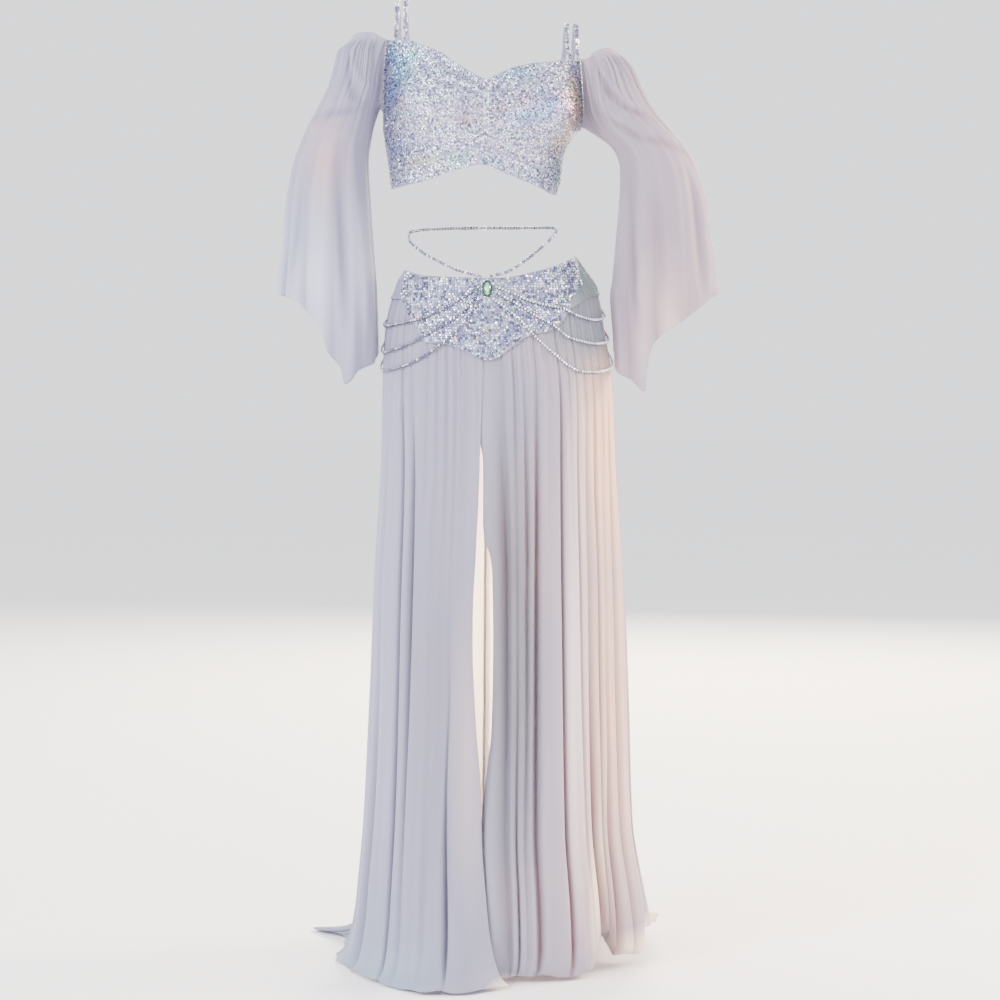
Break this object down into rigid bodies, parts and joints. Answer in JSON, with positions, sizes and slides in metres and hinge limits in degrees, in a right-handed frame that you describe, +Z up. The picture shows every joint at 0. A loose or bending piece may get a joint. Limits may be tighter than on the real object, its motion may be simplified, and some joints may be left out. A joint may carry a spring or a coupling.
{
  "type": "two-piece belly dance costume, worn shape",
  "caption": "Beaded cropped top with off-shoulder bell sleeves and a long gathered skirt with a pointed beaded hip yoke, chain swags, a front slit and a floor train.",
  "frame": {"origin": "middle of the skirt's waist, where the wearer carries the costume", "axes": "+Z up, the front faces -Y, +X is the viewer's right when the front is looked at"},
  "size_m": [0.6401, 0.517, 1.4004],
  "materials": {
    "chiffon": "soft matt, sheer, pale lilac grey",
    "sequin_cloth": "covered with fine iridescent sequins",
    "yoke_cloth": "covered with larger iridescent sequins and stones",
    "crystal_chain": "clear stones in bright metal cups",
    "green_crystal": "polished, pale green",
    "dark_metal": "dark green, glossy"
  },
  "bodies": {
    "root": {"skirt_front_left": "chiffon", "skirt_front_right": "chiffon", "skirt_back": "chiffon", "yoke_front": "yoke_cloth", "yoke_back_left": "yoke_cloth", "yoke_back_right": "yoke_cloth", "gem": "green_crystal", "gem_rim": "dark_metal", "swag_left_1": "crystal_chain", "swag_left_2": "crystal_chain", "swag_left_3": "crystal_chain", "swag_right_1": "crystal_chain", "swag_right_2": "crystal_chain", "swag_right_3": "crystal_chain", "waist_string_left": "crystal_chain", "waist_string_right": "crystal_chain", "waist_string_clasp": "crystal_chain", "top_cup_left": "sequin_cloth", "top_cup_right": "sequin_cloth", "top_band_left": "sequin_cloth", "top_band_right": "sequin_cloth", "top_back_left": "sequin_cloth", "top_back_right": "sequin_cloth", "top_tab": "sequin_cloth", "top_fastening": "chiffon", "strap_left_outer": "crystal_chain", "strap_left_inner": "crystal_chain", "strap_right_inner": "crystal_chain", "strap_right_outer": "crystal_chain", "sleeve_left": "chiffon", "sleeve_right": "chiffon"}
  },
  "joints": []
}
